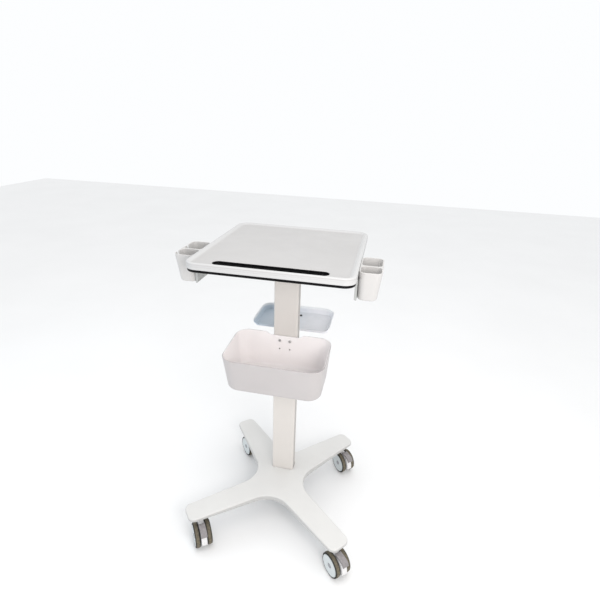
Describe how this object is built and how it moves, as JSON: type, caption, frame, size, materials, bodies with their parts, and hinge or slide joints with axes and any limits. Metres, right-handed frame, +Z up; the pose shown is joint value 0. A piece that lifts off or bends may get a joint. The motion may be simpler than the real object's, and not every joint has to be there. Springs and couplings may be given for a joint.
{
  "type": "ultrasound trolley",
  "caption": "Wheeled trolley for a portable ultrasound scanner: slotted work tray on a column, with a basket, rear tray, probe holders and braked swivel casters.",
  "frame": {"origin": "on the floor, under the middle of the whole object's box", "axes": "+Z up, -Y towards the operator (the slotted edge of the tray), +X to the operator's right"},
  "size_m": [0.5521, 0.5315, 0.94],
  "materials": {
    "tray_top": "satin white moulding with a fine grain",
    "tray_bottom_shell": "satin black moulding",
    "tray_slot_insert": "matt black rubber",
    "tray_mounting_plate": "zinc-plated steel",
    "steel_screw": "zinc-plated",
    "black_screw": "black oxide",
    "column": "white powder coat on aluminium",
    "column_foot": "zinc-plated steel",
    "base_cover": "satin white moulding",
    "base_frame": "grey-painted steel",
    "basket": "satin white moulding",
    "rear_tray": "satin white moulding",
    "rear_tray_bracket": "white powder coat",
    "probe_holder": "satin white moulding",
    "probe_holder_bracket": "grey powder coat",
    "caster_stem": "zinc-plated",
    "caster_body": "white nylon",
    "caster_axle": "grey nylon",
    "brake_pedal": "ribbed grey nylon",
    "tyre": "grey thermoplastic rubber",
    "wheel_disc": "pale grey nylon"
  },
  "bodies": {
    "root": {"tray_top": "tray_top", "tray_slot_insert": "tray_slot_insert", "tray_slot_divider": "tray_slot_insert", "tray_bottom_shell": "tray_bottom_shell", "tray_mounting_plate": "tray_mounting_plate", "tray_screw_1": "steel_screw", "tray_screw_2": "steel_screw", "tray_screw_3": "steel_screw", "tray_screw_4": "steel_screw", "column": "column", "column_foot": "column_foot", "foot_bolt_1": "steel_screw", "foot_bolt_2": "steel_screw", "foot_bolt_3": "steel_screw", "foot_bolt_4": "steel_screw", "base_cover": "base_cover", "base_frame": "base_frame", "basket": "basket", "basket_screw_left": "steel_screw", "basket_screw_right": "steel_screw", "rear_tray": "rear_tray", "rear_tray_bracket": "rear_tray_bracket", "rear_tray_screw_left": "black_screw", "rear_tray_screw_right": "black_screw", "probe_holder_left": "probe_holder", "probe_holder_right": "probe_holder", "probe_holder_bracket_left": "probe_holder_bracket", "probe_holder_bracket_right": "probe_holder_bracket", "front_left_caster_stem": "caster_stem", "front_right_caster_stem": "caster_stem", "back_left_caster_stem": "caster_stem", "back_right_caster_stem": "caster_stem"},
    "front_left_caster": {"front_left_caster_body": "caster_body", "front_left_caster_axle": "caster_axle"},
    "front_left_caster_wheel_left": {"front_left_tyre_left": "tyre", "front_left_wheel_disc_left": "wheel_disc"},
    "front_left_caster_wheel_right": {"front_left_tyre_right": "tyre", "front_left_wheel_disc_right": "wheel_disc"},
    "front_left_caster_pedal": {"front_left_brake_pedal": "brake_pedal"},
    "front_right_caster": {"front_right_caster_body": "caster_body", "front_right_caster_axle": "caster_axle"},
    "front_right_caster_wheel_left": {"front_right_tyre_left": "tyre", "front_right_wheel_disc_left": "wheel_disc"},
    "front_right_caster_wheel_right": {"front_right_tyre_right": "tyre", "front_right_wheel_disc_right": "wheel_disc"},
    "front_right_caster_pedal": {"front_right_brake_pedal": "brake_pedal"},
    "back_left_caster": {"back_left_caster_body": "caster_body", "back_left_caster_axle": "caster_axle"},
    "back_left_caster_wheel_left": {"back_left_tyre_left": "tyre", "back_left_wheel_disc_left": "wheel_disc"},
    "back_left_caster_wheel_right": {"back_left_tyre_right": "tyre", "back_left_wheel_disc_right": "wheel_disc"},
    "back_left_caster_pedal": {"back_left_brake_pedal": "brake_pedal"},
    "back_right_caster": {"back_right_caster_body": "caster_body", "back_right_caster_axle": "caster_axle"},
    "back_right_caster_wheel_left": {"back_right_tyre_left": "tyre", "back_right_wheel_disc_left": "wheel_disc"},
    "back_right_caster_wheel_right": {"back_right_tyre_right": "tyre", "back_right_wheel_disc_right": "wheel_disc"},
    "back_right_caster_pedal": {"back_right_brake_pedal": "brake_pedal"}
  },
  "joints": [
    {"name": "front_left_swivel", "type": "hinge", "parent": "root", "child": "front_left_caster", "pos_m": [-0.2153, -0.202, 0.0385], "axis": [0, 0, 1], "continuous": true},
    {"name": "front_left_wheel_left_spin", "type": "hinge", "parent": "front_left_caster", "child": "front_left_caster_wheel_left", "pos_m": [-0.19981, -0.22412, 0.0385], "axis": [0.8192, 0.5736, 0], "continuous": true},
    {"name": "front_left_wheel_right_spin", "type": "hinge", "parent": "front_left_caster", "child": "front_left_caster_wheel_right", "pos_m": [-0.19981, -0.22412, 0.0385], "axis": [0.8192, 0.5736, 0], "continuous": true},
    {"name": "front_left_brake", "type": "hinge", "parent": "front_left_caster", "child": "front_left_caster_pedal", "pos_m": [-0.19465, -0.23149, 0.079], "axis": [0.8192, 0.5736, 0], "range_deg": [0, 12]},
    {"name": "front_right_swivel", "type": "hinge", "parent": "root", "child": "front_right_caster", "pos_m": [0.2153, -0.202, 0.0385], "axis": [0, 0, 1], "continuous": true},
    {"name": "front_right_wheel_left_spin", "type": "hinge", "parent": "front_right_caster", "child": "front_right_caster_wheel_left", "pos_m": [0.23371, -0.22175, 0.0385], "axis": [0.7314, 0.682, 0], "continuous": true},
    {"name": "front_right_wheel_right_spin", "type": "hinge", "parent": "front_right_caster", "child": "front_right_caster_wheel_right", "pos_m": [0.23371, -0.22175, 0.0385], "axis": [0.7314, 0.682, 0], "continuous": true},
    {"name": "front_right_brake", "type": "hinge", "parent": "front_right_caster", "child": "front_right_caster_pedal", "pos_m": [0.23985, -0.22833, 0.079], "axis": [0.7314, 0.682, 0], "range_deg": [0, 12]},
    {"name": "back_left_swivel", "type": "hinge", "parent": "root", "child": "back_left_caster", "pos_m": [-0.1877, 0.2218, 0.0385], "axis": [0, 0, 1], "continuous": true},
    {"name": "back_left_wheel_left_spin", "type": "hinge", "parent": "back_left_caster", "child": "back_left_caster_wheel_left", "pos_m": [-0.16929, 0.20205, 0.0385], "axis": [0.7314, 0.682, 0], "continuous": true},
    {"name": "back_left_wheel_right_spin", "type": "hinge", "parent": "back_left_caster", "child": "back_left_caster_wheel_right", "pos_m": [-0.16929, 0.20205, 0.0385], "axis": [0.7314, 0.682, 0], "continuous": true},
    {"name": "back_left_brake", "type": "hinge", "parent": "back_left_caster", "child": "back_left_caster_pedal", "pos_m": [-0.16315, 0.19547, 0.079], "axis": [0.7314, 0.682, 0], "range_deg": [0, 12]},
    {"name": "back_right_swivel", "type": "hinge", "parent": "root", "child": "back_right_caster", "pos_m": [0.1877, 0.2218, 0.0385], "axis": [0, 0, 1], "continuous": true},
    {"name": "back_right_wheel_left_spin", "type": "hinge", "parent": "back_right_caster", "child": "back_right_caster_wheel_left", "pos_m": [0.20505, 0.20112, 0.0385], "axis": [0.766, 0.6428, 0], "continuous": true},
    {"name": "back_right_wheel_right_spin", "type": "hinge", "parent": "back_right_caster", "child": "back_right_caster_wheel_right", "pos_m": [0.20505, 0.20112, 0.0385], "axis": [0.766, 0.6428, 0], "continuous": true},
    {"name": "back_right_brake", "type": "hinge", "parent": "back_right_caster", "child": "back_right_caster_pedal", "pos_m": [0.21084, 0.19422, 0.079], "axis": [0.766, 0.6428, 0], "range_deg": [0, 12]}
  ]
}
